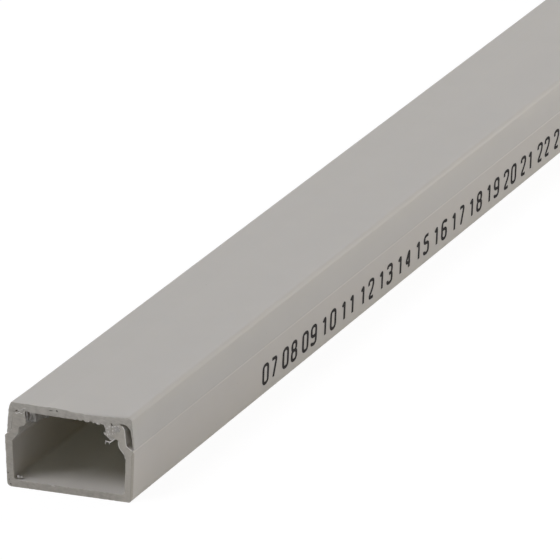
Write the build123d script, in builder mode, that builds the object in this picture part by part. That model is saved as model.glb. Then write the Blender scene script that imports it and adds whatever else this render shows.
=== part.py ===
from build123d import *

import os

# Cord cover raceway: a channel that is fixed to the wall and a lid that snaps onto it, two straight
# extrusions. Millimetres. X runs across the raceway, Y along it and Z up from its back face.
# The origin is at the middle of the back face. Outlines are drawn for the +X half and mirrored.

# Whole raceway
length = 1000.0
height = 16.1

# Walls of the base channel
width = 25.1  # across the shoulders, where the base is widest
wall_splay = 0.4  # how far each side wall leans out from the floor to the shoulder
wall = 1.42
floor = 1.35
foot_radius = 0.75
inner_foot_radius = 0.6

# Shoulders that the skirts of the lid come down to
shoulder_edge_radius = 0.25
neck_step = 1.17  # how far the neck stands in from the edge of the shoulder
ramp_rise = 0.9  # rise of the shoulder from its edge to the foot of the neck
inner_ramp_drop = 0.9  # from the edge of the shoulder down to the foot of the inner ramp
inner_ramp_rise = 1.3
ramp_radius = 0.6
inner_ramp_radius = 0.9

# Necks, and the lips at their tops that point into the channel
neck_height = 4.7  # from the edge of the shoulder to the top of the lip
neck_lean = 0.3  # how far the neck leans in over that height
neck_wall = 1.4
lip_reach = 1.63  # from the inner face of the neck to the tip of the lip's nose
lip_back_radius = 1.0
nose_depth = 2.3
nose_top_radius = 1.2
nose_bottom_radius = 0.8
lip_slope = 0.7  # fall of the lip's underside from its nose to the neck
lip_root_radius = 0.25

# Top of the lid
lid_wall = 1.3
dish = 0.45  # hollow of the lid's top, at its middle
lid_corner_radius = 0.7  # rounding between the top and a skirt
lid_shift = 0.32  # the lid has come to rest this far towards +X, within its play

# Skirts of the lid
seam_gap = 0.45  # between the edge of the shoulder and the edge of the skirt
skirt_gap = 0.33  # between the skirt's edge and the foot of the neck that the lid has moved towards
skirt_edge = 0.4  # thickness at the lower edge
skirt_root = 0.45  # thickness below the top
skirt_flare = 0.5  # how far the skirt leans out from the top to its edge
cove_radius = 1.3

# Legs of the lid, whose barbs catch under the lips
seat_gap = 0.15  # between the top of the lip and the underside of the lid
leg_gap = 0.13  # between a leg and the lip that it has moved towards
leg_wall = 1.05
leg_root_radius = 0.15
catch = 0.25  # how far a barb still reaches under the lip that it has moved away from
barb_gap = 0.12  # between the top of a barb and the underside of its lip
barb_drop = 0.45  # from the tip of a barb down to the toe of its leg
barb_radius = 0.12
toe_width = 0.45
toe_taper = 0.75  # how far the inner face of a leg slopes out on its way to the toe
toe_rise = 1.3  # height of that slope
toe_radius = 0.15
leg_taper_radius = 0.5


# Heights and places that follow from the sizes above
def plane_across(x):
    """The plane of a cross-section, with its own centre line at this X."""
    return Plane(origin=(x, 0, 0), x_dir=(1, 0, 0), z_dir=(0, -1, 0))


def underside(x):
    """Height of the lid's underside at a distance from the lid's own centre line."""
    return lid_corner - lid_wall - dish * (1 - (x / lid_top_half) ** 2)


def wall_outside(z):
    """X of the side wall's outer face at a height."""
    return shoulder_half - wall_splay * (1 - z / shoulder_height)


def neck_outside(z):
    """X of the neck's outer face at a height."""
    return neck_foot - neck_lean * (z - neck_foot_height) / (lip_top - neck_foot_height)


def barb_top(x):
    """Height of the barb's upper face at a distance from the lid's own centre line."""
    return nose_bottom - lip_slope * (x + lid_shift - lip_tip) / lip_reach - barb_gap


shoulder_half = width / 2
neck_foot = shoulder_half - neck_step
skirt_inside = neck_foot + lid_shift + skirt_gap
skirt_half = skirt_inside + skirt_edge
lid_top_half = skirt_half - skirt_flare
lid_corner = height + lid_corner_radius * 2 * dish / lid_top_half  # before its rounding takes it down
lip_tip = neck_foot - neck_wall - lip_reach

lip_top = underside(lip_tip) - seat_gap
nose_bottom = lip_top - nose_depth
lip_root = nose_bottom - lip_slope
shoulder_height = lip_top - neck_height
neck_foot_height = shoulder_height + ramp_rise
inner_ramp_foot = shoulder_height - inner_ramp_drop
inner_ramp_top = inner_ramp_foot + inner_ramp_rise

skirt_bottom = shoulder_height + seam_gap
skirt_bevel = skirt_edge * ramp_rise / neck_step
skirt_root_inside = lid_top_half - skirt_root
leg_outside = lip_tip - lid_shift - leg_gap
leg_inside = leg_outside - leg_wall
toe_inside = leg_inside + toe_taper
barb_tip = lip_tip + lid_shift + catch
toe = barb_top(barb_tip) - barb_drop

# Base channel: floor, side walls, shoulders, necks and lips in one extrusion
with BuildPart() as base_channel:
    with BuildSketch(plane_across(0)):
        with BuildLine():
            outline = FilletPolyline(
                (0, 0),
                (wall_outside(0), 0),
                (shoulder_half, shoulder_height),
                (neck_foot, neck_foot_height),
                (neck_outside(lip_top), lip_top),
                (lip_tip, lip_top),
                (lip_tip, nose_bottom),
                (neck_outside(lip_root) - neck_wall, lip_root),
                (neck_outside(inner_ramp_top) - neck_wall, inner_ramp_top),
                (wall_outside(inner_ramp_foot) - wall, inner_ramp_foot),
                (wall_outside(floor) - wall, floor),
                (0, floor),
                radius=[
                    foot_radius,
                    shoulder_edge_radius,
                    ramp_radius,
                    lip_back_radius,
                    nose_top_radius,
                    nose_bottom_radius,
                    lip_root_radius,
                    inner_ramp_radius,
                    inner_ramp_radius,
                    inner_foot_radius,
                ],
            )
            Line(outline @ 1, outline @ 0)
        make_face()
        mirror(about=Plane.YZ)
    extrude(amount=length / 2, both=True)
base_channel.part.label = "base_channel"

# Lid: dished top, skirts and barbed legs in one extrusion
with BuildPart() as snap_lid:
    with BuildSketch(plane_across(lid_shift)) as lid_section:
        with BuildLine():
            top = TangentArc((0, lid_corner - dish), (lid_top_half, lid_corner), tangent=(1, 0))
            edge = FilletPolyline(
                top @ 1,
                (skirt_half, skirt_bottom),
                (skirt_inside, skirt_bottom + skirt_bevel),
                (skirt_root_inside, underside(skirt_root_inside)),
                (leg_outside, underside(leg_outside)),
                (leg_outside, barb_top(leg_outside)),
                (barb_tip, barb_top(barb_tip)),
                (toe_inside + toe_width, toe),
                (toe_inside, toe),
                (leg_inside, toe + toe_rise),
                (leg_inside, underside(leg_inside)),
                radius=[
                    0,
                    0,
                    cove_radius,
                    leg_root_radius,
                    0,
                    barb_radius,
                    toe_radius,
                    toe_radius,
                    leg_taper_radius,
                ],
            )
            TangentArc((0, underside(0)), edge @ 1, tangent=(1, 0))
            Line((0, underside(0)), top @ 0)
        make_face()
        top_corner = lid_section.vertices().sort_by_distance((lid_top_half, lid_corner))[0]
        fillet(top_corner, radius=lid_corner_radius)
        mirror(about=Plane.YZ)
    extrude(amount=length / 2, both=True)
snap_lid.part.label = "snap_lid"

os.makedirs("parts", exist_ok=True)
for piece in (base_channel.part, snap_lid.part):
    export_step(piece, f"parts/{piece.label}.step")
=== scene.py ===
"""Dresses a small cable raceway, a wall channel with a clip-on lid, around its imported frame."""

import logging
import math
from collections.abc import Callable, Iterator
from contextlib import contextmanager
from dataclasses import dataclass, field
from enum import Enum
from itertools import pairwise
from typing import Any

import bmesh
import bpy
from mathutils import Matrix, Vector, noise


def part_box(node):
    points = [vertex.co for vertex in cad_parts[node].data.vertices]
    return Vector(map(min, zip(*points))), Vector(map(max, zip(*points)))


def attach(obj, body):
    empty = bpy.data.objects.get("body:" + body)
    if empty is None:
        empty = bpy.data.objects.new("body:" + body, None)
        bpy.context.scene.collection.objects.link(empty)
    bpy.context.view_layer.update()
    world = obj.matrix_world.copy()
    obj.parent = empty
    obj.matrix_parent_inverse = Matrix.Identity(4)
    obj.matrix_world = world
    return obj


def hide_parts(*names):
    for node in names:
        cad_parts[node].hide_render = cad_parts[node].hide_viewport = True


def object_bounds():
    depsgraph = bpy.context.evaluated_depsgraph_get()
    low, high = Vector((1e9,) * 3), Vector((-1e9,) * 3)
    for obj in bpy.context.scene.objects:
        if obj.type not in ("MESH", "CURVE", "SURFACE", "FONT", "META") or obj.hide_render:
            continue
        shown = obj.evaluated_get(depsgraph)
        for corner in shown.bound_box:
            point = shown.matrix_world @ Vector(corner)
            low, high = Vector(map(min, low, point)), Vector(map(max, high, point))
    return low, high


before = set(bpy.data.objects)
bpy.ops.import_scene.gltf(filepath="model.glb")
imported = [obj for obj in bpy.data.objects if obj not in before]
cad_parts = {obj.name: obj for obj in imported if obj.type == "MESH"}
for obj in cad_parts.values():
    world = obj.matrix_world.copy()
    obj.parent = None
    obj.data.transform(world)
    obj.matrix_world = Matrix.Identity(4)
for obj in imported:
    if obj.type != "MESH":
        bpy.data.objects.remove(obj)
CAD_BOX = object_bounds()

MM = 0.001  # pieces are modelled in millimetres and brought to metres when they are done
SLACK = 0.03  # how far off a face a vertex may be, in millimetres, and still count as on it
TOUCH = 0.001  # how near two points are, in millimetres, that count as one
MOST_CUTS = 100  # that Subdivide makes in one edge
NOISE_MEAN = 0.5  # of a Noise Texture
LUMP_GAIN = 1.8  # widens Perlin noise to about the range from -1 to 1

Triple = tuple[float, float, float]
Colour = Triple
Span = tuple[float, float]  # a start and an end; a fade is 0 at its start and 1 at its end
Piece = bpy.types.Object
log = logging.getLogger("raceway")


class Axis(Enum):
    """Coordinates, by their place in a vector."""

    X = 0
    Y = 1
    Z = 2


class Pick(Enum):
    """What a selection in edit mode is made of."""

    VERTICES = "VERT"
    EDGES = "EDGE"
    FACES = "FACE"


class Face(Enum):
    """Material slots of an extrusion after its skin, which has the first."""

    SAWN = 1
    RIM = 2
    # slot of the -X leg's torn face, painted darker as shade
    TORN = 3


class Lumps(Enum):
    """Patterns of lumps, by their seed."""

    BURR = 2.3
    UNEVEN_ACROSS = 3.0
    CRUMB = 4.0
    FRAY = 5.0
    TEAR = 6.0
    UNEVEN_UP = 8.0


def math_node(operation: str, reflected: bool = False) -> Callable[["Value", "Value | float"], "Value"]:
    """Makes an operator of Value.

    Args:
        operation: what the Math node does.
        reflected: whether the value stands on the operator's right.

    Returns:
        The method that adds the node.
    """

    def operate(value: "Value", other: "Value | float") -> "Value":
        """Adds the node for a value and what it meets."""
        sides = (other, value) if reflected else (value, other)
        return value.graph.node("ShaderNodeMath", {"operation": operation}, dict(enumerate(sides)))

    return operate


class Value:
    """A shader socket that takes part in arithmetic: each operator adds a Math node."""

    __add__ = __radd__ = math_node("ADD")
    __sub__ = math_node("SUBTRACT")
    __rsub__ = math_node("SUBTRACT", reflected=True)
    __mul__ = __rmul__ = math_node("MULTIPLY")
    __gt__ = math_node("GREATER_THAN")
    __or__ = math_node("MAXIMUM")

    def __init__(self, graph: "ShaderGraph", socket: bpy.types.NodeSocket) -> None:
        """Wraps an output socket of a graph."""
        self.graph = graph
        self.socket = socket

    def sibling(self, output: str) -> "Value":
        """Another output of the same node."""
        return Value(self.graph, self.socket.node.outputs[output])


class ShaderGraph:
    """Builds the node tree of one material or of the world."""

    def __init__(self, owner: bpy.types.Material | bpy.types.World) -> None:
        """Empties the owner's node tree."""
        owner.use_nodes = True
        self.tree = owner.node_tree
        self.tree.nodes.clear()

    def node(
        self,
        kind: str,
        settings: dict[str, Any] | None = None,
        sockets: dict[str | int, Any] | None = None,
        output: str | int = 0,
    ) -> Value | None:
        """Adds a node.

        Args:
            kind: Blender's type name of the node.
            settings: the node's own properties, set before its sockets.
            sockets: values or links for its inputs, by name or by number.
            output: the output to hand back, by name or by number.

        Returns:
            The chosen output, or None for a node without outputs.
        """
        made = self.tree.nodes.new(kind)
        for name, value in (settings or {}).items():
            setattr(made, name, value)
        for key, value in (sockets or {}).items():
            if isinstance(value, Value):
                self.tree.links.new(value.socket, made.inputs[key])
            else:
                made.inputs[key].default_value = value
        return Value(self, made.outputs[output]) if made.outputs else None

    def place(self) -> Value:
        """Object coordinates, in metres."""
        return self.node("ShaderNodeTexCoord", output="Object")

    def coordinate(self, place: Value, axis: Axis) -> Value:
        """One of the coordinates of a place."""
        return self.node("ShaderNodeSeparateXYZ", None, {"Vector": place}, axis.name)

    def stretched(self, place: Value, scale: Triple, turn: Triple = (0, 0, 0)) -> Value:
        """Coordinates that are turned and then scaled, so that a pattern runs along a direction.

        Args:
            place: the coordinates.
            scale: factor for each axis, below 1 where the pattern is drawn out.
            turn: Euler angles in radians.

        Returns:
            The new coordinates.
        """
        sockets = {"Vector": place, "Rotation": turn}
        turned = self.node("ShaderNodeMapping", {"vector_type": "TEXTURE"}, sockets)
        return self.node("ShaderNodeVectorMath", {"operation": "MULTIPLY"}, {0: turned, 1: scale})

    def noise(self, place: Value, size: float, detail: float = 2.0) -> Value:
        """Noise from 0 to 1.

        Args:
            place: the coordinates, in metres.
            size: how large its grains are, in millimetres.
            detail: how many finer layers it has.

        Returns:
            The noise.
        """
        sockets = {"Vector": place, "Scale": 1 / (size * MM), "Detail": detail}
        return self.node("ShaderNodeTexNoise", None, sockets)

    def specks(self, place: Value, spacing: float, radius: float, share: float, core: float = 0.4) -> Value:
        """Soft round specks.

        Args:
            place: the coordinates, in metres.
            spacing: usual distance between the cells that may hold one, in millimetres.
            radius: their size, in millimetres.
            share: how many of the cells hold one, from 0 to 1.
            core: how much of the radius is covered fully, from 0 to 1.

        Returns:
            A mask, 1 in the middle of a speck.
        """
        sockets = {"Vector": place, "Scale": 1 / (spacing * MM)}
        distance = self.node("ShaderNodeTexVoronoi", None, sockets, "Distance")
        chance = self.node("ShaderNodeSeparateColor", None, {0: distance.sibling("Color")})
        soft = self.ramp(distance, radius / spacing, core * radius / spacing)
        return soft * (chance > 1 - share)

    def ramp(self, value: Value, start: float, end: float) -> Value:
        """A smooth step from 0 where the value is at start to 1 where it is at end."""
        sockets = {"Value": value, "From Min": start, "From Max": end}
        return self.node("ShaderNodeMapRange", {"interpolation_type": "SMOOTHSTEP"}, sockets)

    def mix(self, share: Value | float, first: Value | Colour, second: Value | Colour) -> Value:
        """The colour between two colours, all of the second where the share is 1."""
        colours = [c if isinstance(c, Value) else (*c, 1.0) for c in (first, second)]
        sockets = {0: share, 6: colours[0], 7: colours[1]}
        return self.node("ShaderNodeMix", {"data_type": "RGBA"}, sockets, 2)

    def mix_shaders(self, share: Value | float, first: Value, second: Value) -> Value:
        """The shader between two shaders, all of the second where the share is 1."""
        return self.node("ShaderNodeMixShader", None, {0: share, 1: first, 2: second})

    def bump(self, height: Value, depth: float, strength: float) -> Value:
        """Normals of a relief whose full height is a depth in millimetres."""
        sockets = {"Height": height, "Distance": depth * MM, "Strength": strength}
        return self.node("ShaderNodeBump", None, sockets)

    def seen(self) -> Value:
        """A mask that is 1 for rays by which the background is seen, directly or in a reflection."""
        camera = self.node("ShaderNodeLightPath", output="Is Camera Ray")
        return camera | camera.sibling("Is Glossy Ray") | camera.sibling("Is Transmission Ray")


def tinted(colour: Colour, factor: float) -> Colour:
    """A colour made darker or lighter by a factor."""
    return tuple(factor * part for part in colour)


def shades(colour: Colour, contrast: float) -> list[Colour]:
    """A colour made darker and made lighter by a contrast."""
    return [tinted(colour, 1 + change) for change in (-contrast, contrast)]


@dataclass(frozen=True)
class Finish:
    """A finish that is made into a material. Each kind has a shader of its own."""

    name: str

    def shader(self, graph: ShaderGraph) -> Value:
        """The finish's shader."""
        raise NotImplementedError

    def material(self) -> bpy.types.Material:
        """The finish as a material."""
        material = bpy.data.materials.new(self.name)
        graph = ShaderGraph(material)
        graph.node("ShaderNodeOutputMaterial", None, {"Surface": self.shader(graph)})
        return material


@dataclass(frozen=True)
class ExtrudedSkin(Finish):
    """Satin skin of an extrusion: die lines along its length, faint mottling, dust and a band of painted
    light along the seam.
    """

    colour: Colour
    edge: Span  # heights of a band along its length with painted light
    seam_light_tone: float  # factor on its colour there: above 1 a painted highlight, below 1 a painted shade
    seam_light_blur: float = 0.12
    contrast: float = 0.06
    roughness: float = 0.57
    specular: float = 0.33
    line_size: float = 0.45
    line_stretch: float = 0.004
    mottle_size: float = 9.0
    grain_size: float = 0.14
    relief: float = 0.012
    relief_strength: float = 0.5
    dust_spacing: float = 4.5
    dust_radius: float = 0.2
    dust_share: float = 0.35
    dust_cover: float = 0.28
    dust_tone: float = 0.5
    milkiness: float = 0.15  # share of the light that goes into the plastic and scatters
    scatter_length: float = 3.0
    scatter_tint: Colour = (1.0, 0.85, 0.6)
    translucency: float = 0.095  # share of the light that comes out on the other side of a wall
    inner_glow: Colour = (0.98, 0.96, 0.8)

    def shader(self, graph: ShaderGraph) -> Value:
        """Satin plastic that lets a little light through."""
        place = graph.place()
        drawn = graph.stretched(place, (1.0, self.line_stretch, 1.0))
        lines = graph.noise(drawn, self.line_size, detail=3.0)
        mottle = graph.noise(place, self.mottle_size, detail=4.0)
        grain = graph.noise(place, self.grain_size)
        dust = graph.specks(place, self.dust_spacing, self.dust_radius, self.dust_share)
        tone = graph.mix(0.7 * mottle + 0.3 * lines, *shades(self.colour, self.contrast))
        dusty = graph.mix(self.dust_cover * dust, tone, tinted(self.colour, self.dust_tone))
        # A band of painted light along the seam: a painted highlight on the base's shoulder, painted shade on
        # the lid's skirt edge.
        height = graph.coordinate(place, Axis.Z)
        low, high = (MM * end for end in self.edge)
        blur = MM * self.seam_light_blur
        seam_light_band = graph.ramp(height, low - blur, low) * graph.ramp(height, high + blur, high)
        gloss = 0.12 * (lines - NOISE_MEAN) + 0.1 * (mottle - NOISE_MEAN) + 0.2 * dust
        relief = 0.65 * lines + 0.35 * grain
        sockets = {
            "Base Color": graph.mix(seam_light_band, dusty, tinted(self.colour, self.seam_light_tone)),
            "Roughness": self.roughness + gloss,
            "Specular IOR Level": self.specular,
            "Subsurface Weight": self.milkiness,
            "Subsurface Radius": self.scatter_tint,
            "Subsurface Scale": self.scatter_length * MM,
            "Normal": graph.bump(relief, self.relief, self.relief_strength),
        }
        solid = graph.node("ShaderNodeBsdfPrincipled", None, sockets)
        through = graph.node("ShaderNodeBsdfTranslucent", None, {"Color": (*self.inner_glow, 1.0)})
        return graph.mix_shaders(self.translucency, solid, through)


@dataclass(frozen=True)
class SawnFace(Finish):
    """Matt face that a saw left: smeared streaks, torn grain and a few pits, darkened as painted shade."""

    colour: Colour
    contrast: float = 0.12
    contrast_span: Span = (0.3, 0.7)
    roughness: float = 0.8
    streak_size: float = 0.22
    streak_stretch: float = 0.18
    saw_angle: float = math.radians(14)
    tear_size: float = 0.7
    relief: float = 0.05
    relief_strength: float = 0.6
    pit_spacing: float = 2.6
    pit_radius: float = 0.13
    pit_share: float = 0.3
    pit_cover: float = 0.5
    pit_shade_tone: float = 0.35
    paling: float = 0.0  # how much paler the cut is made towards +X
    paling_span: Span = (7.5, 11.0)
    paling_tone: float = 1.3

    def shader(self, graph: ShaderGraph) -> Value:
        """Matt plastic with the saw's streaks."""
        place = graph.place()
        sawing = graph.stretched(place, (self.streak_stretch, 1.0, 1.0), (0, self.saw_angle, 0))
        streaks = graph.noise(sawing, self.streak_size, detail=3.0)
        tears = graph.noise(place, self.tear_size, detail=4.0)
        pits = graph.specks(place, self.pit_spacing, self.pit_radius, self.pit_share)
        rough = graph.ramp(0.5 * streaks + 0.5 * tears, *self.contrast_span)
        tone = graph.mix(rough, *shades(self.colour, self.contrast))
        # Pits are darkened: painted shade in them.
        pitted_and_shaded = graph.mix(self.pit_cover * pits, tone, tinted(self.colour, self.pit_shade_tone))
        across = graph.coordinate(place, Axis.X)
        paler = self.paling * graph.ramp(across, *(MM * end for end in self.paling_span))
        relief = 0.6 * streaks + 0.4 * tears - 0.5 * pits
        sockets = {
            "Base Color": graph.mix(paler, pitted_and_shaded, tinted(self.colour, self.paling_tone)),
            "Roughness": self.roughness + 0.2 * (tears - NOISE_MEAN),
            "Normal": graph.bump(relief, self.relief, self.relief_strength),
        }
        return graph.node("ShaderNodeBsdfPrincipled", None, sockets)


@dataclass(frozen=True)
class PrintedInk(Finish):
    """Black ink of a drop printer, thinner in places."""

    colour: Colour = (0.011, 0.009, 0.009)
    worn_colour: Colour = (0.03, 0.027, 0.026)
    worn_span: Span = (0.45, 0.68)
    roughness: float = 0.7
    specular: float = 0.1
    drop_size: float = 0.35
    patch_size: float = 5.0
    relief: float = 0.01
    relief_strength: float = 0.4

    def shader(self, graph: ShaderGraph) -> Value:
        """Matt ink in drops."""
        place = graph.place()
        drops = graph.noise(place, self.drop_size)
        patches = graph.noise(place, self.patch_size, detail=3.0)
        thin = graph.ramp(0.5 * drops + 0.5 * patches, *self.worn_span)
        sockets = {
            "Base Color": graph.mix(thin, self.colour, self.worn_colour),
            "Roughness": self.roughness + 0.2 * thin,
            "Specular IOR Level": self.specular,
            "Normal": graph.bump(drops, self.relief, self.relief_strength),
        }
        return graph.node("ShaderNodeBsdfPrincipled", None, sockets)


@dataclass(frozen=True)
class PaleFloor(Finish):
    """White studio floor that shows only the object's shadow."""

    name: str = "studio_floor"
    colour: Colour = (0.9, 0.9, 0.9)
    shadow_colour: Colour = (0.12, 0.12, 0.12)
    glow: float = 0.93

    def shader(self, graph: ShaderGraph) -> Value:
        """A plain pale floor for light that falls on it, and a glowing one where it is seen."""
        tones = (self.colour, self.shadow_colour)
        plain, shaded = (graph.node("ShaderNodeBsdfDiffuse", None, {"Color": (*c, 1.0)}) for c in tones)
        white = graph.node("ShaderNodeEmission", None, {"Strength": self.glow})
        bright = graph.node("ShaderNodeAddShader", None, {0: shaded, 1: white})
        return graph.mix_shaders(graph.seen(), plain, bright)


def make_only(piece: Piece) -> None:
    """Makes a piece the active object and the only one that is selected."""
    bpy.ops.object.select_all(action="DESELECT")
    piece.select_set(True)
    bpy.context.view_layer.objects.active = piece


@contextmanager
def editing(piece: Piece) -> Iterator[None]:
    """Opens one piece in edit mode, with all its vertices selected, and closes it again."""
    make_only(piece)
    bpy.ops.object.mode_set(mode="EDIT")
    choose_all(Pick.VERTICES)
    yield
    bpy.ops.object.mode_set(mode="OBJECT")


def choose_all(kind: Pick) -> None:
    """Selects the whole mesh that is open in edit mode."""
    bpy.ops.mesh.select_mode(type=kind.value)
    bpy.ops.mesh.select_all(action="SELECT")


def choose(piece: Piece, kind: Pick, wanted: Callable[[Any], bool]) -> None:
    """Selects parts of the mesh that is open in edit mode.

    Args:
        piece: the object in edit mode.
        kind: what to select.
        wanted: tells for a vertex, edge or face whether it is selected.
    """
    bpy.ops.mesh.select_mode(type=kind.value)
    bpy.ops.mesh.select_all(action="DESELECT")
    mesh = bmesh.from_edit_mesh(piece.data)
    parts = {Pick.VERTICES: mesh.verts, Pick.EDGES: mesh.edges, Pick.FACES: mesh.faces}[kind]
    for part in parts:
        part.select_set(wanted(part))
    mesh.select_flush_mode()
    bmesh.update_edit_mesh(piece.data)


def assign(piece: Piece, face: Face) -> None:
    """Gives the selected faces a material slot."""
    piece.active_material_index = face.value
    bpy.ops.object.material_slot_assign()


def drawn_line(name: str, points: list[Vector]) -> Piece:
    """Draws a line of edges, from a plane that is merged into the line's first point.

    Args:
        name: the piece's name.
        points: the line's points, in millimetres.

    Returns:
        The object.
    """
    bpy.ops.object.select_all(action="DESELECT")
    bpy.ops.mesh.primitive_plane_add(size=1.0)
    piece = bpy.context.object
    piece.name = piece.data.name = name
    with editing(piece):
        bpy.ops.mesh.merge(type="CENTER")
        bpy.ops.transform.translate(value=points[0])
    with editing(piece):
        for here, after in pairwise(points):
            bpy.ops.mesh.extrude_vertices_move(TRANSFORM_OT_translate={"value": after - here})
    return piece


def nudge(piece: Piece, offset: Callable[[Vector], Vector], least: float = 1e-6) -> None:
    """Moves vertices a little, by Displace modifiers on weighted vertex groups.

    Args:
        piece: the object to shape, in millimetres.
        offset: tells for a vertex's place how far it moves.
        least: an axis is left out when its longest move is shorter than this.
    """
    make_only(piece)
    offsets = [offset(vertex.co) for vertex in piece.data.vertices]
    for axis in Axis:
        for sign in (1, -1):
            lengths = [max(0.0, sign * move[axis.value]) for move in offsets]
            longest = max(lengths)
            if longest < least:
                continue
            group = piece.vertex_groups.new(name="nudge")
            for index, length in enumerate(lengths):
                if length > 0:
                    group.add([index], length / longest, "REPLACE")
            modifier = piece.modifiers.new("nudge", "DISPLACE")
            modifier.vertex_group = group.name
            modifier.direction = axis.name
            modifier.strength = sign * longest
            modifier.mid_level = 0.0
            bpy.ops.object.modifier_apply(modifier=modifier.name)
            piece.vertex_groups.clear()


def complete(piece: Piece, body: str, smooth_angle: float = 35.0) -> None:
    """Brings a piece that was modelled in millimetres to metres and hands it to its body.

    Args:
        piece: the finished object.
        body: the moving body that carries it.
        smooth_angle: edges up to this angle, in degrees, are shaded smooth.
    """
    make_only(piece)
    piece.scale = (MM, MM, MM)
    bpy.ops.object.transform_apply(location=True, rotation=True, scale=True)
    bpy.ops.object.shade_smooth_by_angle(angle=math.radians(smooth_angle))
    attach(piece, body)


def joined(pieces: list[Piece], name: str) -> Piece:
    """Applies the places of some pieces and joins them into one.

    Args:
        pieces: the objects.
        name: the name of the whole.

    Returns:
        The joined object.
    """
    whole = pieces[0]
    make_only(whole)
    for piece in pieces:
        piece.select_set(True)
    bpy.ops.object.transform_apply(location=True, rotation=True, scale=True)
    bpy.ops.object.join()
    whole.name = whole.data.name = name
    return whole


def copied(pattern: Piece) -> Piece:
    """A copy of a piece, with a mesh of its own."""
    make_only(pattern)
    bpy.ops.object.duplicate()
    return bpy.context.object


def fade(value: float, start: float, end: float) -> float:
    """A smooth step from 0 where the value is at start to 1 where it is at end."""
    t = min(1.0, max(0.0, (value - start) / (end - start)))
    return t * t * (3 - 2 * t)


def fallen(radius: float, past: float) -> float:
    """How far a rounding has fallen away at a distance past its start."""
    return radius - math.sqrt(radius**2 - min(radius, max(0.0, past)) ** 2)


def lumps(place: Vector, size: float, pattern: Lumps, along: float = 0.0) -> float:
    """Smooth noise from -1 to 1 over a cross-section.

    Args:
        place: the point, in millimetres.
        size: how large the lumps are, in millimetres.
        pattern: which of the patterns.
        along: how far the pattern has changed along the piece.

    Returns:
        The noise.
    """
    spot = Vector((place.x / size, place.z / size, pattern.value + along))
    return max(-1.0, min(1.0, LUMP_GAIN * noise.noise(spot)))


@dataclass(frozen=True)
class Corner:
    """A corner of a cross-section, in millimetres, and the radius that rounds it."""

    x: float
    z: float
    radius: float = 0.0

    def mirrored(self) -> "Corner":
        """The same corner on the other half."""
        return Corner(-self.x, self.z, self.radius)


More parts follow.
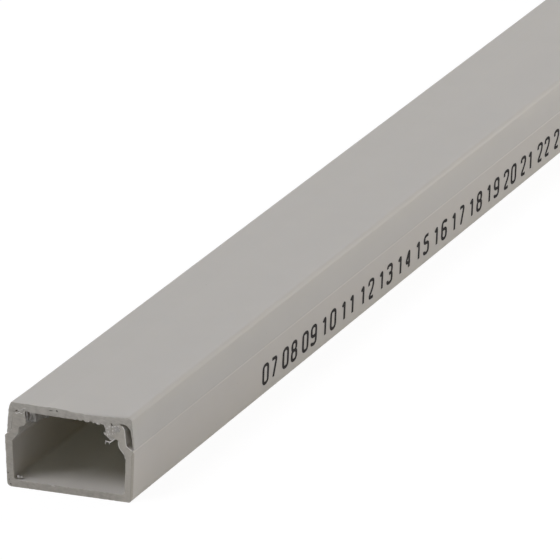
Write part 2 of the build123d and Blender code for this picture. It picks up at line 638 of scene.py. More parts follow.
@dataclass
class Extrusion:
    """A straight extrusion with sawn ends, drawn as a cross-section and pulled along Y."""

    node: str
    body: str
    slot: str
    skin: ExtrudedSkin
    sawn: SawnFace
    rim: SawnFace
    pitch: float = 0.15  # usual length of an edge round the outline
    arc_step: float = 0.12  # and round a corner
    rim_width: float = 0.07
    rim_depth: float = 0.05
    recess: float = 0.1  # room in front of the near cut for what stands proud of it
    unevenness: float = 0.05  # of the near cut's edges
    uneven_size: float = 0.6
    steps: tuple[float, ...] = (0.15, 0.3, 0.6, 1.5, 5.0)  # rings near a sawn end, from ring to ring

    def __post_init__(self) -> None:
        """Reads the piece's box from the frame, in millimetres."""
        self.low, self.high = (Vector(corner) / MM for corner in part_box(self.node))
        self.centre = (self.low.x + self.high.x) / 2  # X of the extrusion's own centre line
        self.cut = self.low.y + self.recess  # Y of the near cut

    def finishes(self) -> list[Finish]:
        """Finishes of the material slots: the skin, and then those of Face."""
        return [self.skin, self.sawn, self.rim]

    def half_outline(self) -> list[Corner]:
        """Corners of the +X half, from the centre line round to the centre line."""
        raise NotImplementedError

    def place(self, corner: Corner) -> Vector:
        """Where a corner is on the near end, before the end is chamfered."""
        return Vector((self.centre + corner.x, self.cut + self.rim_depth, corner.z))

    def near(self, place: Vector, reach: float) -> float:
        """1 at the near cut, falling to 0 at a distance from it."""
        return max(0.0, 1.0 - (place.y - self.cut) / reach)

    def round_corners(self, piece: Piece, corners: list[Corner]) -> None:
        """Rounds the corners of the outline's face, in edit mode.

        Args:
            piece: the object in edit mode.
            corners: the corners, in order.
        """
        places = [self.place(corner) for corner in corners]
        for index, corner in enumerate(corners):
            here = places[index]
            into = here - places[index - 1]
            out = places[(index + 1) % len(places)] - here
            turn = into.angle(out)
            if corner.radius > 0:
                choose(piece, Pick.VERTICES, lambda vertex: (vertex.co - here).length < TOUCH)
                bpy.ops.mesh.bevel(
                    affect="VERTICES",
                    offset_type="OFFSET",
                    offset=corner.radius * math.tan(turn / 2),
                    segments=max(3, math.ceil(corner.radius * turn / self.arc_step)),
                    profile=0.5,
                    clamp_overlap=False,
                )

    def divide_outline(self, piece: Piece) -> None:
        """Divides the outline's long edges, in edit mode, so that sawing can tear them."""

        def cuts(edge: bmesh.types.BMEdge) -> int:
            """How many cuts bring an edge down to the pitch."""
            return min(MOST_CUTS, round(edge.calc_length() / self.pitch) - 1)

        choose_all(Pick.FACES)
        bpy.ops.mesh.delete(type="ONLY_FACE")
        counts = {cuts(edge) for edge in bmesh.from_edit_mesh(piece.data).edges}
        for count in sorted(counts, reverse=True):
            if count > 0:
                choose(piece, Pick.EDGES, lambda edge: cuts(edge) == count)
                bpy.ops.mesh.subdivide(number_cuts=count)
        choose_all(Pick.VERTICES)
        bpy.ops.mesh.edge_face_add()

    def draw_out(self) -> None:
        """Extrudes the selected face along the whole length, with rings near both ends."""
        length = self.high.y - self.cut - 2 * self.rim_depth
        middle = length - 2 * sum(self.steps)
        for step in (*self.steps, middle, *reversed(self.steps)):
            bpy.ops.mesh.extrude_region_move(TRANSFORM_OT_translate={"value": (0, step, 0)})

    def saw_ends(self, piece: Piece) -> None:
        """Gives both ends, in edit mode, a rubbed rim round a sawn face."""
        choose(piece, Pick.FACES, lambda face: abs(face.normal.y) > 0.99)
        assign(piece, Face.RIM)
        bpy.ops.mesh.inset(thickness=self.rim_width, depth=self.rim_depth, use_even_offset=True)
        assign(piece, Face.SAWN)
        bpy.ops.mesh.quads_convert_to_tris(quad_method="BEAUTY", ngon_method="BEAUTY")

    def damage(self, piece: Piece) -> None:
        """Leaves the near cut's edges slightly uneven."""
        reach = self.rim_depth + 2 * self.steps[0]

        def uneven(place: Vector) -> Vector:
            """Small bumps across and up, none of them out of the frame's box."""
            across = lumps(place, self.uneven_size, Lumps.UNEVEN_ACROSS)
            up = lumps(place, self.uneven_size, Lumps.UNEVEN_UP)
            move = self.unevenness * self.near(place, reach) * Vector((across, 0.0, up))
            ends = (Vector(corner) / MM - place for corner in CAD_BOX)
            return Vector(max(low, min(high, step)) for low, high, step in zip(*ends, move))

        nudge(piece, uneven)

    def build(self) -> Piece:
        """Models the extrusion and puts it in its node's place.

        Returns:
            The finished object.
        """
        half = self.half_outline()
        corners = half + [corner.mirrored() for corner in reversed(half)]
        piece = drawn_line(f"{self.node}_dressed", [self.place(corner) for corner in corners])
        for finish in self.finishes():
            piece.data.materials.append(finish.material())
        with editing(piece):
            bpy.ops.mesh.edge_face_add()
            self.round_corners(piece, corners)
            self.divide_outline(piece)
            self.draw_out()
            choose_all(Pick.VERTICES)
            bpy.ops.mesh.normals_make_consistent(inside=False)
            self.saw_ends(piece)
        self.damage(piece)
        complete(piece, self.body)
        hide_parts(self.node)
        return piece


@dataclass
class BaseChannel(Extrusion):
    """The channel that is fixed to the wall: floor, side walls, shoulders, necks and lips."""

    rim_width: float = 0.06
    shoulder_half: float = 12.54
    shoulder_radius: float = 0.25
    wall_splay: float = 0.4
    wall: float = 1.42
    floor: float = 1.35
    floor_radius: float = 0.6
    back_radius: float = 0.75
    neck_step: float = 1.34
    neck_height: float = 4.7
    neck_lean: float = 0.3
    neck_wall: float = 1.4
    neck_radius: float = 0.6
    ramp_rise: float = 0.9
    inner_ramp_drop: float = 0.9
    inner_ramp_rise: float = 1.3
    inner_ramp_radius: float = 0.9
    lip_reach: float = 1.45
    lip_back_radius: float = 1.0
    lip_slope: float = 0.7
    lip_root_radius: float = 0.25
    nose_depth: float = 2.3
    nose_top_radius: float = 1.2
    nose_bottom_radius: float = 0.8
    worn_edge: float = 0.24  # of the +X side at the near cut
    worn_foot: Span = (0.2, 1.2)
    worn_top: float = 9.0
    worn_reach: float = 1.5
    worn_slope: float = 2.2

    def __post_init__(self) -> None:
        """Works out the heights of the shoulder and the neck's foot, and X of the neck and the nose."""
        super().__post_init__()
        self.shoulder_height = self.high.z - self.neck_height
        self.foot_height = self.shoulder_height + self.ramp_rise
        self.neck_foot = self.shoulder_half - self.neck_step
        self.lip_tip = self.neck_foot - self.neck_wall - self.lip_reach

    def wall_outside(self, z: float) -> float:
        """X of the side wall's outer face at a height."""
        return self.shoulder_half - self.wall_splay * (1 - z / self.shoulder_height)

    def neck_outside(self, z: float) -> float:
        """X of the neck's outer face at a height."""
        return self.neck_foot - self.neck_lean * (z - self.foot_height) / (self.high.z - self.foot_height)

    def lip_face(self, z: float) -> float:
        """X of the lip's nose at a height, where its roundings draw it back."""
        above = z - self.high.z + self.nose_top_radius
        below = self.high.z - self.nose_depth + self.nose_bottom_radius - z
        return self.lip_tip + fallen(self.nose_top_radius, above) + fallen(self.nose_bottom_radius, below)

    def lip_crest(self, x: float) -> float:
        """Height of the lip's upper face at an X, where its roundings lower it."""
        inwards = self.lip_tip + self.nose_top_radius - x
        outwards = x - self.neck_outside(self.high.z) + self.lip_back_radius
        return self.high.z - fallen(self.nose_top_radius, inwards) - fallen(self.lip_back_radius, outwards)

    def half_outline(self) -> list[Corner]:
        """Corners of the +X half, from the back face round to the inner floor."""
        top = self.high.z
        nose_bottom = top - self.nose_depth
        root = nose_bottom - self.lip_slope
        ramp_foot = self.shoulder_height - self.inner_ramp_drop
        ramp_top = ramp_foot + self.inner_ramp_rise
        return [
            Corner(self.wall_outside(0), 0.0, self.back_radius),
            Corner(self.shoulder_half, self.shoulder_height, self.shoulder_radius),
            Corner(self.neck_foot, self.foot_height, self.neck_radius),
            Corner(self.neck_outside(top), top, self.lip_back_radius),
            Corner(self.lip_tip, top, self.nose_top_radius),
            Corner(self.lip_tip, nose_bottom, self.nose_bottom_radius),
            Corner(self.neck_outside(root) - self.neck_wall, root, self.lip_root_radius),
            Corner(self.neck_outside(ramp_top) - self.neck_wall, ramp_top, self.inner_ramp_radius),
            Corner(self.wall_outside(ramp_foot) - self.wall, ramp_foot, self.inner_ramp_radius),
            Corner(self.wall_outside(self.floor) - self.wall, self.floor, self.floor_radius),
        ]

    def damage(self, piece: Piece) -> None:
        """Wears the +X side's edge at the near cut, and leaves all edges uneven."""

        def worn(place: Vector) -> Vector:
            """Chamfer between the side and the cut."""
            if self.wall_outside(place.z) - place.x > self.rim_width + SLACK:
                return Vector()
            edge = self.worn_edge * fade(place.z, *self.worn_foot)
            edge *= fade(place.z, self.shoulder_height, self.worn_top)
            if place.y < self.cut + self.rim_depth / 2:
                return Vector((-edge, 0, 0))
            return Vector((0, self.worn_slope * edge * self.near(place, self.worn_reach), 0))

        nudge(piece, worn)
        super().damage(piece)


@dataclass
class SnapLid(Extrusion):
    """The lid: dished top, thin skirts over the necks, and barbed legs under the lips."""

    base: BaseChannel | None = None
    # finish of the torn -X leg: darker, as painted shade
    torn: SawnFace | None = None
    top_wall: float = 1.3
    dish: float = 0.45
    dish_fade: Span = (-0.25, -0.02)  # heights over the underside
    headroom: float = 0.01  # under the top of the lid's box
    corner_radius: float = 0.95
    cove_radius: float = 1.9
    skirt_edge: float = 0.22
    skirt_root: float = 0.35
    skirt_flare: float = 0.5
    skirt_bevel: float = 0.17
    skirt_inside: float = 11.5  # X past which there is only the +X skirt
    seam_droop: float = 0.2  # how far the +X skirt's edge hangs lower
    droop_fade: Span = (2.0, 0.4)  # heights over the skirts' edges
    leg_gap: float = 0.13
    leg_wall: float = 1.05
    leg_root_radius: float = 0.15
    leg_bend_radius: float = 0.5
    leg_reach: float = 9.2  # distance from the centre line within which the legs are
    catch: float = 0.25
    barb_gap: float = 0.12
    barb_drop: float = 0.45
    barb_radius: float = 0.2
    toe_width: float = 0.45
    toe_taper: float = 0.75
    toe_rise: float = 1.3
    toe_radius: float = 0.15
    top_skin: Span = (0.4, 0.1)  # depths in the top to which its near edge is worn
    rubbed_edge: float = 0.14  # how far that edge is rubbed down, on the +X half
    rubbed_side: Span = (2.2, 3.3)
    rubbed_reach: float = 0.5
    lifted_edge: float = 0.18  # and lifted on the -X half
    lifted_side: Span = (1.6, -1.7)
    lifted_corner: Span = (-12.2, -10.8)
    lifted_reach: float = 7.5
    lift_gain: float = 0.9  # how much more it is nearer to the middle
    lift_gain_side: Span = (-4.5, -3.6)
    broken_side: Span = (-11.0, -11.6)  # of the top's -X corner
    broken_height: Span = (-1.6, -0.5)
    broken_reach: float = 0.8
    broken_move: Triple = (0.12, 0.0, -0.03)
    rag_size: float = 0.5
    burr_length: float = 0.6
    burr_side: Span = (0.3, 1.4)
    burr_growth: Span = (1.5, 5.5)
    fray_length: float = 0.34
    fray_depth: Span = (0.8, 0.4)  # from the +X leg's inner face
    fray_top: float = 0.5  # below the underside
    toe_wear: float = 0.7
    toe_fade: Span = (0.9, 0.1)  # heights over the toe
    torn_face: float = 0.3  # how far the -X leg is torn back
    torn_top: Span = (0.3, 1.2)  # depths below the underside
    torn_reach: float = 1.0
    torn_size: float = 0.4  # of its lumps
    tear_height: float = 12.4  # below this the -X leg broke off behind the cut
    tear_edge: Span = (-0.35, 0.3)  # depths below that height
    tear_depth: float = 7.0
    smear_reach: float = 1.0  # widest gap that is smeared shut
    smear_clearance: float = 0.02
    foot_clearance: float = 0.08  # more of it at a neck's foot
    foot_fade: Span = (0.5, -0.1)  # heights over the neck's foot
    smear_start: float = 0.2  # past a lip's nose
    smear_end: Span = (10.3, 9.9)  # X over the +X lip
    leg_smear_end: Span = (14.3, 13.9)  # heights on the +X leg
    pinhole: float = 10.1  # how far from the middle a gap stayed open over the -X lip
    pinhole_edge: Span = (0.2, 0.38)
    skirt_drag: float = 0.09  # how far the -X skirt's edge was dragged down
    clean_edge: float = 0.1  # of the +X skirt, which wasn't

    def __post_init__(self) -> None:
        """Works out the section's places before the dish, across from the lid's centre line."""
        super().__post_init__()
        self.skirt_half = (self.high.x - self.low.x) / 2
        self.top_half = self.skirt_half - self.skirt_flare
        inner = 1 - self.corner_radius / self.top_half
        self.rim_height = self.high.z + self.dish * (1 - inner**2) - self.headroom
        self.below = self.rim_height - self.top_wall  # height of the underside
        self.leg_outside = self.base.lip_tip - self.centre - self.leg_gap
        self.leg_inside = self.leg_outside - self.leg_wall
        self.barb_tip = self.base.lip_tip + self.centre + self.catch
        self.toe = self.barb_top(self.barb_tip) - self.barb_drop  # height of a leg's lower end

    def barb_top(self, x: float) -> float:
        """Height of a barb's upper face at a distance from the lid's centre line."""
        fall = self.base.lip_slope * (x + self.centre - self.base.lip_tip) / self.base.lip_reach
        return self.base.high.z - self.base.nose_depth - fall - self.barb_gap

    def skirt_outside(self, z: float) -> float:
        """Distance of a skirt's outer face from the lid's centre line at a height."""
        return self.skirt_half - self.skirt_flare * (z - self.low.z) / (self.rim_height - self.low.z)

    def from_centre(self, place: Vector) -> float:
        """Distance from the lid's own centre line, with its sign."""
        return place.x - self.centre

    def sag(self, place: Vector) -> float:
        """How far the dish lowers the lid at a place."""
        return self.dish * max(0.0, 1 - (self.from_centre(place) / self.top_half) ** 2)

    def half_outline(self) -> list[Corner]:
        """Corners of the +X half, from the top round to the underside, before the dish."""
        toe_inside = self.leg_inside + self.toe_taper
        return [
            Corner(self.top_half, self.rim_height, self.corner_radius),
            Corner(self.skirt_half, self.low.z),
            Corner(self.skirt_half - self.skirt_edge, self.low.z + self.skirt_bevel),
            Corner(self.top_half - self.skirt_root, self.below, self.cove_radius),
            Corner(self.leg_outside, self.below, self.leg_root_radius),
            Corner(self.leg_outside, self.barb_top(self.leg_outside)),
            Corner(self.barb_tip, self.barb_top(self.barb_tip), self.barb_radius),
            Corner(toe_inside + self.toe_width, self.toe, self.toe_radius),
            Corner(toe_inside, self.toe, self.toe_radius),
            Corner(self.leg_inside, self.toe + self.toe_rise, self.leg_bend_radius),
            Corner(self.leg_inside, self.below),
        ]

    def finishes(self) -> list[Finish]:
        """Finishes of the material slots, with the torn leg's darker one, which is painted shade."""
        return [*super().finishes(), self.torn]

    def saw_ends(self, piece: Piece) -> None:
        """Saws both ends, and gives the -X leg at the near one the torn finish, darkened as painted shade."""
        super().saw_ends(piece)
        choose(piece, Pick.FACES, lambda face: all(self.on_torn_leg(vertex.co) for vertex in face.verts))
        assign(piece, Face.TORN)

    def on_torn_leg(self, place: Vector) -> bool:
        """Whether a vertex is on the -X leg and near the cut."""
        beside = self.leg_inside - self.rim_width - SLACK < -self.from_centre(place) < self.leg_reach
        return beside and place.z < self.below - self.torn_top[0] and place.y < self.cut + 2 * self.tear_depth

    def on_underside(self, place: Vector) -> bool:
        """Whether a vertex is on the underside of the dished top, or on its rim at a cut."""
        return -2 * SLACK < place.z - self.below + self.sag(place) < self.rim_width + SLACK

    def past_leg(self, place: Vector) -> bool:
        """Whether a vertex is on the +X leg's inner face or further out."""
        return self.from_centre(place) > self.leg_inside - SLACK

    def on_rim(self, place: Vector) -> float:
        """Width of the rim for a vertex on its inner edge, otherwise 0."""
        return self.rim_width if place.y < self.cut + self.rim_depth / 2 else 0.0

    def towards_lip(self, place: Vector) -> Vector:
        """The way from a vertex over or beside a lip to just short of it, for a gap that is small."""
        base, side = self.base, math.copysign(1.0, place.x)
        x, slack = abs(place.x), self.smear_clearance + self.on_rim(place)
        middle_x = base.neck_outside(base.high.z) - base.lip_back_radius
        middle_z = base.high.z - base.lip_back_radius
        if place.z <= middle_z:
            slack += self.foot_clearance * fade(place.z - base.foot_height, *self.foot_fade)
            way, gap = Vector((-side, 0, 0)), x - base.neck_outside(place.z) - slack
        elif x <= middle_x:
            way, gap = Vector((0, 0, -1)), place.z - base.lip_crest(x) - slack
        else:
            out = Vector((x - middle_x, 0, place.z - middle_z))
            way = Vector((-side * out.x, 0, -out.z)).normalized()
            gap = out.length - base.lip_back_radius - slack
        return way * gap if 0 < gap < self.smear_reach else Vector()

    def damage(self, piece: Piece) -> None:
        """Dishes the lid, then tears and smears its near end as the saw did."""
        reach = self.rim_depth + 1.5 * self.steps[0]
        down, inwards, along = Vector((0, 0, -1)), Vector((-1, 0, 0)), Vector((0, 1, 0))

        def dragged(place: Vector) -> float:
            """How far a smear is drawn out: all the way at the cut and on its rim."""
            return min(1.0, 2 * self.near(place, reach))

        def dished(place: Vector) -> Vector:
            """Hollow of the top and the underside."""
            return self.sag(place) * fade(place.z - self.below, *self.dish_fade) * down

        def drooped(place: Vector) -> Vector:
            """Edge of the +X skirt, lower than that of the other along the whole length."""
            if place.x < self.skirt_inside:
                return Vector()
            return self.seam_droop * fade(place.z - self.low.z, *self.droop_fade) * down

        def rubbed(place: Vector) -> Vector:
            """Top edge of the cut, rounded by the saw on the +X half and bent up on the other."""
            depth = self.rim_height - self.sag(place) - place.z
            worn = self.rubbed_edge * fade(place.x, *self.rubbed_side)
            worn *= self.near(place, self.rubbed_reach) ** 2
            bent = 1 + self.lift_gain * fade(place.x, *self.lift_gain_side)
            bent *= fade(place.x, *self.lifted_side) * fade(place.x, *self.lifted_corner)
            lifted = self.lifted_edge * bent * self.near(place, self.lifted_reach)
            return fade(depth, *self.top_skin) * (worn - lifted) * down

        def chamfered(place: Vector) -> Vector:
            """The -X corner of the top, which the saw broke."""
            broken = fade(place.x, *self.broken_side) * fade(place.z - self.rim_height, *self.broken_height)
            return broken * self.near(place, self.broken_reach) * Vector(self.broken_move)

        def burr(place: Vector) -> Vector:
            """Ragged lumps under the near edge, between the middle and the +X leg."""
            if not self.on_underside(place) or self.past_leg(place):
                return Vector()
            x = self.from_centre(place)
            hang = self.burr_length * fade(x, *self.burr_side) * (0.5 + 0.5 * fade(x, *self.burr_growth))
            ragged = 0.35 + 0.65 * lumps(place, self.rag_size, Lumps.BURR)
            return self.near(place, reach) * hang * ragged * down

        def fray(place: Vector) -> Vector:
            """Torn inner face and worn toe of the +X leg."""
            if not self.past_leg(place) or place.z > self.below - self.fray_top:
                return Vector()
            x = self.from_centre(place)
            inner = self.fray_length * lumps(place, self.rag_size, Lumps.FRAY)
            inner *= fade(x - self.leg_inside, *self.fray_depth)
            worn = self.toe_wear * fade(place.z - self.toe, *self.toe_fade) * (x < self.leg_reach)
            return self.near(place, reach) * (inner * inwards - worn * down)

        def smear(place: Vector) -> Vector:
            """Plastic that the saw dragged from the lid down to the lips and the -X neck."""
            x = abs(place.x)
            height = place.z - self.low.z
            if x < self.base.lip_tip + self.smear_start or (place.x > 0 and height < self.clean_edge):
                return Vector()
            if height < self.skirt_bevel + SLACK:
                return self.skirt_drag * self.near(place, reach) * down
            if abs(self.from_centre(place)) > self.skirt_outside(place.z) - self.skirt_edge / 2:
                return Vector()
            open_end = fade(x, *self.smear_end)
            closed = open_end if place.x > 0 else fade(abs(x - self.pinhole), *self.pinhole_edge)
            return closed * dragged(place) * self.towards_lip(place)

        def smear_leg(place: Vector) -> Vector:
            """Plastic dragged from the outer face of the +X leg to its lip."""
            if not -SLACK < self.leg_outside - self.from_centre(place) < self.rim_width + SLACK:
                return Vector()
            gap = self.base.lip_face(place.z) - self.centre - self.leg_outside - self.smear_clearance
            return -max(0.0, gap) * dragged(place) * fade(place.z, *self.leg_smear_end) * inwards

        def tear(place: Vector) -> Vector:
            """The -X leg is torn behind the cut, and its toe broke off further back."""
            if not self.on_torn_leg(place):
                return Vector()
            bumps = lumps(place, self.torn_size, Lumps.TEAR)
            torn = self.torn_face * (1 + 0.5 * bumps) * fade(self.below - place.z, *self.torn_top)
            broken = fade(self.tear_height - place.z - 0.25 * bumps, *self.tear_edge)
            broken *= self.tear_depth * self.near(place, 2 * self.tear_depth)
            return (torn * self.near(place, self.torn_reach) + broken) * along

        for change in (dished, drooped, rubbed, chamfered, burr, fray, smear, smear_leg, tear):
            nudge(piece, change)
        super().damage(piece)


@dataclass(frozen=True)
class Stroke:
    """A pen stroke: points as shares of a digit's width and height, and whether it is a loop."""

    points: tuple[tuple[float, float], ...]
    loop: bool = False

    def line(self, wide: float, tall: float, radius: float, steps: int = 4) -> list[Vector]:
        """The stroke's line in the YZ plane, with rounded corners.

        Args:
            wide: the digit's width, in millimetres.
            tall: the digit's height.
            radius: how far before and after a corner its rounding begins, up to about half a side.
            steps: how many edges a rounding has.

        Returns:
            Points along the line.
        """
        corners = [Vector((0.0, wide * across, tall * up)) for across, up in self.points]
        line: list[Vector] = []
        for index, corner in enumerate(corners):
            if not self.loop and index in (0, len(corners) - 1):
                line.append(corner)
                continue
            sides = [corners[index - 1] - corner, corners[(index + 1) % len(corners)] - corner]
            start, end = (corner + side * min(0.49, radius / side.length) for side in sides)
            for t in (step / steps for step in range(steps + 1)):
                line.append((1 - t) ** 2 * start + 2 * t * (1 - t) * corner + t**2 * end)
        return line


PEN_DIGITS: dict[str, tuple[Stroke, ...]] = {
    "0": (Stroke(((0, 0), (1, 0), (1, 1), (0, 1)), loop=True),),
    "1": (Stroke(((0.12, 0.76), (0.6, 1), (0.6, 0))),),
    "2": (Stroke(((0, 0.74), (0, 1), (1, 1), (1, 0.6), (0, 0), (1, 0))),),
    "3": (
        Stroke(((0, 0.84), (0, 1), (0.97, 1), (0.97, 0.53), (0.35, 0.53))),
        Stroke(((0.35, 0.53), (1, 0.53), (1, 0), (0, 0), (0, 0.18))),
    ),
    "4": (Stroke(((0.76, 0), (0.76, 1), (0, 0.28), (1, 0.28))),),
    "5": (Stroke(((0.94, 1), (0.06, 1), (0, 0.57), (1, 0.6), (1, 0), (0, 0), (0, 0.16))),),
    "6": (Stroke(((0.95, 0.86), (0.95, 1), (0, 1), (0, 0), (1, 0), (1, 0.56), (0, 0.56))),),
    "7": (Stroke(((0, 1), (1, 1), (0.34, 0))),),
    "8": (
        Stroke(((0.05, 0.53), (0.95, 0.53), (0.95, 1), (0.05, 1)), loop=True),
        Stroke(((0, 0), (1, 0), (1, 0.53), (0, 0.53)), loop=True),
    ),
    "9": (Stroke(((0.05, 0.14), (0.05, 0), (1, 0), (1, 1), (0, 1), (0, 0.44), (1, 0.44))),),
}


@dataclass
class LengthScale:
    """Centimetre numbers printed along the +X side of the base."""

    base: BaseChannel
    ink: PrintedInk
    pen: float = 0.76
    pen_stretch: float = 1.45  # drops are longer along the raceway
    digit_height: float = 4.4
    digit_width: float = 3.4
    digit_pitch: float = 4.3
    corner_radius: float = 0.8
    baseline: float = 1.95
    first: int = 7
    last: int = 99
    spacing: float = 10.0
    film: float = 0.03
    lift: float = 0.012  # of the film's middle above the wall
    weld: float = 1e-5

    def digit(self, figure: str) -> Piece:
        """One digit as a flat film in the YZ plane, with its lower left corner at the origin.

        Args:
            figure: the digit.

        Returns:
            The digit's object, in millimetres.
        """
        tall, wide = self.digit_height - self.pen, self.digit_width / self.pen_stretch - self.pen
        lines = []
        for stroke in PEN_DIGITS[figure]:
            points = stroke.line(wide, tall, self.corner_radius)
            line = drawn_line("pen_line", points)
            if stroke.loop:
                ends = (points[0], points[-1])
                with editing(line):
                    choose(line, Pick.VERTICES, lambda v: min((v.co - end).length for end in ends) < TOUCH)
                    bpy.ops.mesh.edge_face_add()
            lines.append(line)
        digit = joined(lines, f"digit_{figure}")
        bpy.ops.object.convert(target="CURVE")
        digit.data.bevel_depth = self.pen / 2
        digit.data.bevel_resolution = 1
        digit.data.use_fill_caps = True
        bpy.ops.object.convert(target="MESH")
        digit.scale = (self.film / self.pen, self.pen_stretch, 1.0)
        bpy.ops.object.transform_apply(location=True, rotation=True, scale=True)
        with editing(digit):
            bpy.ops.mesh.remove_doubles(threshold=self.weld)
            bpy.ops.mesh.normals_make_consistent(inside=False)
        return digit

    def build(self) -> Piece:
        """Prints the numbers along the wall.

        Returns:
            The finished object.
        """
        patterns = {figure: self.digit(figure) for figure in PEN_DIGITS}
        lean = math.atan2(self.base.wall_splay, self.base.shoulder_height)
        foot = self.baseline + self.pen / 2
        digits = []
        for number in range(self.first, self.last + 1):
            for order, figure in enumerate(f"{number:02d}"):
                digit = copied(patterns[figure])
                along = number * self.spacing + (order - 1) * self.digit_pitch - self.digit_width
                digit.location = (self.base.wall_outside(foot) + self.lift, self.base.cut + along, foot)
                digit.rotation_euler = (0, lean, 0)
                digits.append(digit)
        scale = joined(digits, "length_scale_print")
        for pattern in patterns.values():
            bpy.data.objects.remove(pattern)
        scale.data.materials.append(self.ink.material())
        complete(scale, self.base.body)
        return scale


@dataclass(frozen=True)
class Strand:
    """A curled thread of swarf: points as X, Z and depth behind the cut, in millimetres."""

    points: tuple[Triple, ...]
    thickness: float
    taper: float = 0.35
    flatness: float = 0.7


@dataclass(frozen=True)
class Crumb:
    """A crumb on a cut: X, Z, width and height, turn in degrees, depth behind the cut and thickness."""

    x: float
    z: float
    wide: float
    tall: float
    turn: float = 0.0
    depth: float = 0.0
    thick: float = 0.14


@dataclass
class CutLitter:
    """Threads and crumbs that the saw left on the near cut of one extrusion."""

    name: str
    carrier: Extrusion
    finish: SawnFace
    strands: tuple[Strand, ...] = ()
    crumbs: tuple[Crumb, ...] = ()
    lump_size: float = 0.45
    lump_hollow: float = 0.3
    rounding_levels: int = 2
    smooth_angle: float = 80.0

    def thread(self, strand: Strand) -> Piece:
        """One thread, thickened by a Skin modifier and smoothed.

        Args:
            strand: its line and thickness.

        Returns:
            The thread's object, in millimetres.
        """
        points = [Vector((x, self.carrier.cut + depth, z)) for x, z, depth in strand.points]
        piece = drawn_line("thread", points)
        skin = piece.modifiers.new("thickness", "SKIN")
        for order, ring in enumerate(piece.data.skin_vertices[0].data):
            radius = (1.0 - strand.taper * order / (len(points) - 1)) * strand.thickness / 2
            ring.radius = (radius, strand.flatness * radius)
        bpy.ops.object.modifier_apply(modifier=skin.name)
        rounding = piece.modifiers.new("rounding", "SUBSURF")
        rounding.levels = rounding.render_levels = self.rounding_levels
        bpy.ops.object.modifier_apply(modifier=rounding.name)
        return piece

    def lump(self) -> Piece:
        """A rough lump one millimetre across, at the origin, that the crumbs are copies of."""

        def hollow(place: Vector) -> Vector:
            """Dents towards the lump's middle."""
            depth = 0.5 + 0.5 * lumps(place, self.lump_size, Lumps.CRUMB, place.y)
            return -self.lump_hollow * depth * place

        bpy.ops.object.select_all(action="DESELECT")
        bpy.ops.mesh.primitive_ico_sphere_add(subdivisions=3, radius=0.5)
        piece = bpy.context.object
        nudge(piece, hollow)
        return piece

    def build(self) -> Piece:
        """Makes the threads and crumbs and joins them.

        Returns:
            The finished object.
        """
        pieces = [self.thread(strand) for strand in self.strands]
        pattern = self.lump()
        for crumb in self.crumbs:
            piece = copied(pattern)
            piece.scale = (crumb.wide, crumb.thick, crumb.tall)
            piece.rotation_euler = (0, math.radians(crumb.turn), 0)
            piece.location = (crumb.x, self.carrier.cut + crumb.depth, crumb.z)
            pieces.append(piece)
        bpy.data.objects.remove(pattern)
        litter = joined(pieces, self.name)
        litter.data.materials.append(self.finish.material())
        complete(litter, self.carrier.body, self.smooth_angle)
        return litter


CURLED_THREAD = (
    (9.3, 12.25, 0.25), (8.9, 11.75, 0.1), (8.55, 11.35, 0.08),
    (8.07, 11.03, 0.1), (7.5, 11.0, 0.15), (7.0, 11.12, 0.25),
)
NECK_EDGE = (
    (10.5, 14.3, 0.04), (10.86, 13.75, 0.02), (10.98, 13.0, 0.03), (11.06, 12.0, 0.02),
    (11.14, 11.1, 0.03), (11.32, 10.58, 0.02), (11.8, 10.24, 0.02), (12.3, 9.9, 0.03),
)
INNER_EDGE = (
    (9.66, 11.4, 0.04), (9.76, 10.6, 0.02), (9.95, 10.05, 0.03),
    (10.4, 9.52, 0.02), (10.88, 8.9, 0.03), (11.02, 8.2, 0.04),
)
LEG_STRANDS = (
    Strand(CURLED_THREAD, 0.38),
    Strand(((7.95, 11.0, 0.15), (7.86, 10.75, 0.2), (7.8, 10.48, 0.25)), 0.2),
    Strand(((7.25, 11.02, 0.2), (7.1, 10.75, 0.25), (7.0, 10.38, 0.3)), 0.2),
    Strand(((-9.5, 14.75, 0.02), (-9.1, 14.95, 0.0), (-8.75, 15.3, 0.01)), 0.24),
    Strand(((-8.35, 15.45, 0.02), (-8.25, 15.1, 0.0), (-8.3, 14.8, 0.01)), 0.22),
)
EDGE_BURRS = (
    Strand(NECK_EDGE, 0.27),
    Strand(INNER_EDGE, 0.25),
    Strand(((-10.45, 14.2, 0.04), (-10.1, 14.12, 0.02), (-9.7, 14.25, 0.02), (-9.35, 14.5, 0.04)), 0.24),
)
LEG_CRUMBS = (
    Crumb(7.1, 13.95, 0.42, 0.34, 20),
    Crumb(7.55, 13.6, 0.5, 0.3, -35),
    Crumb(7.95, 13.95, 0.36, 0.5, 15),
    Crumb(7.3, 13.1, 0.3, 0.42, 10),
    Crumb(7.8, 13.0, 0.5, 0.36, 40),
    Crumb(7.12, 12.45, 0.44, 0.36, -15),
    Crumb(7.65, 12.4, 0.4, 0.5, 25),
    Crumb(8.0, 12.6, 0.3, 0.36, 0),
    Crumb(7.7, 11.95, 0.45, 0.3, 30),
    Crumb(6.5, 14.35, 0.5, 0.3, 12),
    Crumb(5.7, 14.3, 0.4, 0.26, -10),
    Crumb(4.85, 14.33, 0.45, 0.24, 8),
    Crumb(3.9, 14.38, 0.4, 0.2, 0),
    Crumb(6.92, 12.6, 0.4, 0.3, 25, 0.15, 0.3),
    Crumb(-9.75, 14.66, 0.4, 0.22, -20),
    Crumb(-9.0, 14.9, 0.5, 0.26, 15),
    Crumb(-8.6, 15.2, 0.4, 0.3, 30),
)
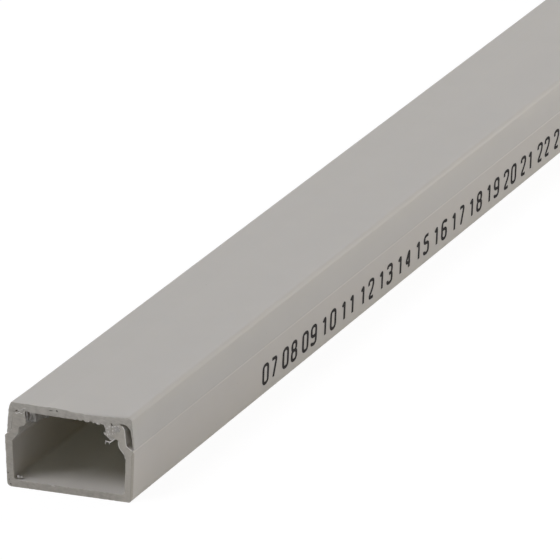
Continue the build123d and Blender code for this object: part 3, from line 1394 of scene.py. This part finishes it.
# Dark shreds on the torn -X leg, their dark colour painted shade.
LEG_SHREDS = (
    Crumb(-8.15, 14.45, 0.35, 1.1, 14, 0.02),
    Crumb(-8.05, 13.7, 0.4, 1.7, 9, 0.08, 0.3),
    Crumb(-7.5, 13.5, 0.35, 1.7, 8, 0.15, 0.3),
    Crumb(-7.25, 13.9, 0.3, 1.3, 6, 0.1, 0.25),
    Crumb(-8.3, 13.4, 0.3, 1.0, 8, 0.3, 0.4),
    Crumb(-6.55, 13.85, 0.45, 0.9, 12, 0.6, 0.4),
)
LIP_SMEARS = (
    Crumb(9.5, 13.65, 1.5, 1.1, 10, 0.0, 0.12),
    Crumb(9.1, 13.2, 0.6, 0.7, -20, 0.0, 0.1),
)
LIP_CRUMBS = (
    Crumb(8.6, 13.95, 0.4, 0.5, 30),
    Crumb(8.62, 13.3, 0.36, 0.5, 0),
    Crumb(8.6, 12.7, 0.34, 0.5, -10),
    Crumb(9.05, 14.15, 0.5, 0.34, -15),
    Crumb(9.7, 14.2, 0.5, 0.32, 0),
    Crumb(9.2, 13.55, 0.3, 0.26, 25),
    Crumb(9.05, 12.75, 0.36, 0.26, 10),
    Crumb(9.9, 13.65, 0.36, 0.3, 0),
    Crumb(-9.2, 14.2, 0.6, 0.3, -20),
    Crumb(-8.65, 13.9, 0.3, 0.5, 10),
    Crumb(-3.1, 1.2, 1.1, 0.2, 2),
    Crumb(-10.15, 1.85, 0.8, 0.6, 30, 0.6, 0.7),
    Crumb(-9.7, 1.7, 0.7, 0.5, -20, 0.9, 0.6),
)
LID_SPECKS = (
    Crumb(-3.4, 15.48, 1.0, 0.2, -7, 0.02),
    Crumb(-2.25, 15.58, 0.5, 0.4, 0, 0.02),
)
BASE_SPECKS = (
    Crumb(-11.98, 2.55, 0.3, 0.4, 15, 0.02),
    Crumb(-11.75, 1.35, 0.26, 0.2, 0, 0.02),
    Crumb(-11.45, 0.5, 0.42, 0.3, 30, 0.02),
)


@dataclass(frozen=True)
class SoftLamp:
    """A round soft lamp: its place and size in metres, its power in watts and its tint."""

    name: str
    place: Triple
    power: float
    size: float = 1.0
    tint: Colour = (1.0, 1.0, 1.0)


@dataclass
class Studio:
    """Floor, light and camera, in metres and degrees."""

    floor: PaleFloor = field(default_factory=PaleFloor)
    floor_size: float = 40.0
    ambient: float = 0.1
    backdrop: float = 1.0
    lamps: tuple[SoftLamp, ...] = (
        SoftLamp("front_left_lamp", (-0.89, -1.34, 1.8), 26.2, 1.4, (0.985, 0.985, 1.035)),
        SoftLamp("above_left_lamp", (-0.8, -0.2, 1.7), 3.6, 1.2),
        SoftLamp("back_right_lamp", (1.0, 0.9, 0.5), 16.2, 0.7, (1.04, 0.995, 0.955)),
        SoftLamp("back_left_lamp", (-0.9, 1.6, 0.8), 1.4, 1.2),
    )
    lit_point: Triple = (0.0, -0.45, 0.0)
    azimuth: float = 21.951
    elevation: float = 18.315
    distance: float = 1.25258
    lens: float = 449.8
    clip: Span = (0.01, 100.0)
    camera_aim: Triple = (0.0315, -0.47689, 0.03737)

    def lay_floor(self) -> None:
        """A wide plain floor under the object."""
        bpy.ops.object.select_all(action="DESELECT")
        bpy.ops.mesh.primitive_plane_add(size=self.floor_size)
        floor = bpy.context.object
        floor.name = self.floor.name
        floor.data.materials.append(self.floor.material())

    def light_world(self) -> None:
        """Even light from all round, in front of a white background."""
        world = bpy.data.worlds.new("studio_world")
        bpy.context.scene.world = world
        graph = ShaderGraph(world)
        light, backdrop = (
            graph.node("ShaderNodeBackground", None, {"Color": (1, 1, 1, 1), "Strength": strength})
            for strength in (self.ambient, self.backdrop)
        )
        shader = graph.mix_shaders(graph.seen(), light, backdrop)
        graph.node("ShaderNodeOutputWorld", None, {"Surface": shader})

    def hang_lamp(self, plan: SoftLamp) -> None:
        """Hangs one lamp and turns it to the lit point."""
        bpy.ops.object.light_add(type="AREA", location=plan.place)
        lamp = bpy.context.object
        lamp.name = plan.name
        lamp.data.shape = "DISK"
        lamp.data.size = plan.size
        lamp.data.energy = plan.power
        lamp.data.color = plan.tint
        towards = Vector(self.lit_point) - Vector(plan.place)
        lamp.rotation_euler = towards.to_track_quat("-Z", "Y").to_euler()

    def set_camera(self) -> None:
        """A long lens at the photograph's viewing angle."""
        turn, tilt = math.radians(self.azimuth), math.radians(self.elevation)
        back = Vector((math.sin(turn) * math.cos(tilt), -math.cos(turn) * math.cos(tilt), math.sin(tilt)))
        bpy.ops.object.camera_add(location=Vector(self.camera_aim) + self.distance * back)
        camera = bpy.context.object
        camera.rotation_euler = (-back).to_track_quat("-Z", "Y").to_euler()
        camera.data.lens = self.lens
        camera.data.clip_start, camera.data.clip_end = self.clip
        bpy.context.scene.camera = camera

    def build(self) -> None:
        """Sets the whole studio up."""
        bpy.context.scene.view_settings.view_transform = "Standard"
        self.lay_floor()
        self.light_world()
        for plan in self.lamps:
            self.hang_lamp(plan)
        self.set_camera()


def main() -> None:
    """Builds the studio and the raceway's pieces."""
    logging.basicConfig(level=logging.INFO)
    Studio().build()
    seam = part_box("snap_lid")[0][2] / MM - SnapLid.seam_droop
    base_cut, base_paling = (0.419, 0.394, 0.346), 0.45
    lid_cut = (0.45, 0.428, 0.382)
    rim_tone = 1.05
    tear_angle = math.radians(105)
    base = BaseChannel(
        "base_channel",
        "base",
        "base_upvc",
        # Pale band under the seam: a painted highlight on the base's shoulder edge.
        ExtrudedSkin("base_skin", (0.528, 0.506, 0.476), (seam - 0.42, seam + 0.1), 1.15),
        SawnFace("base_sawn", base_cut, paling=base_paling),
        SawnFace("base_rim", tinted(base_cut, rim_tone), paling=base_paling),
    )
    lid = SnapLid(
        "snap_lid",
        "lid",
        "lid_upvc",
        # Darker band along the skirt's edge: painted shade over the seam.
        ExtrudedSkin("lid_skin", (0.528, 0.512, 0.484), (seam - 0.1, seam + 0.2), 0.94),
        SawnFace("lid_sawn", lid_cut),
        SawnFace("lid_rim", tinted(lid_cut, rim_tone)),
        base=base,
        # The torn leg's finish is dark as painted shade.
        torn=SawnFace("torn_leg", (0.31, 0.296, 0.272), contrast=0.25, saw_angle=tear_angle),
    )
    swarf = SawnFace("swarf_plastic", (0.6, 0.58, 0.545))
    burrs = SawnFace("edge_burrs", (0.8, 0.775, 0.735))
    # Dark shreds: painted shade on the torn leg.
    shreds_in_shade = SawnFace("leg_shreds", (0.23, 0.217, 0.2), contrast=0.3, saw_angle=tear_angle)
    smears = SawnFace("lip_smears", (0.385, 0.368, 0.345))
    grime = SawnFace("cut_grime", (0.11, 0.1, 0.088))
    parts = (
        base,
        lid,
        LengthScale(base, PrintedInk("scale_ink")),
        CutLitter("saw_swarf", lid, swarf, LEG_STRANDS, LEG_CRUMBS),
        CutLitter("lip_crumbs", base, swarf, crumbs=LIP_CRUMBS),
        CutLitter("edge_burrs", base, burrs, strands=EDGE_BURRS),
        CutLitter("leg_shreds", lid, shreds_in_shade, crumbs=LEG_SHREDS),
        CutLitter("lip_smears", base, smears, crumbs=LIP_SMEARS),
        CutLitter("lid_grime", lid, grime, crumbs=LID_SPECKS),
        CutLitter("base_grime", base, grime, crumbs=BASE_SPECKS),
    )
    for part in parts:
        piece = part.build()
        log.info("%s: %d faces", piece.name, len(piece.data.polygons))


if __name__ == "__main__":
    main()
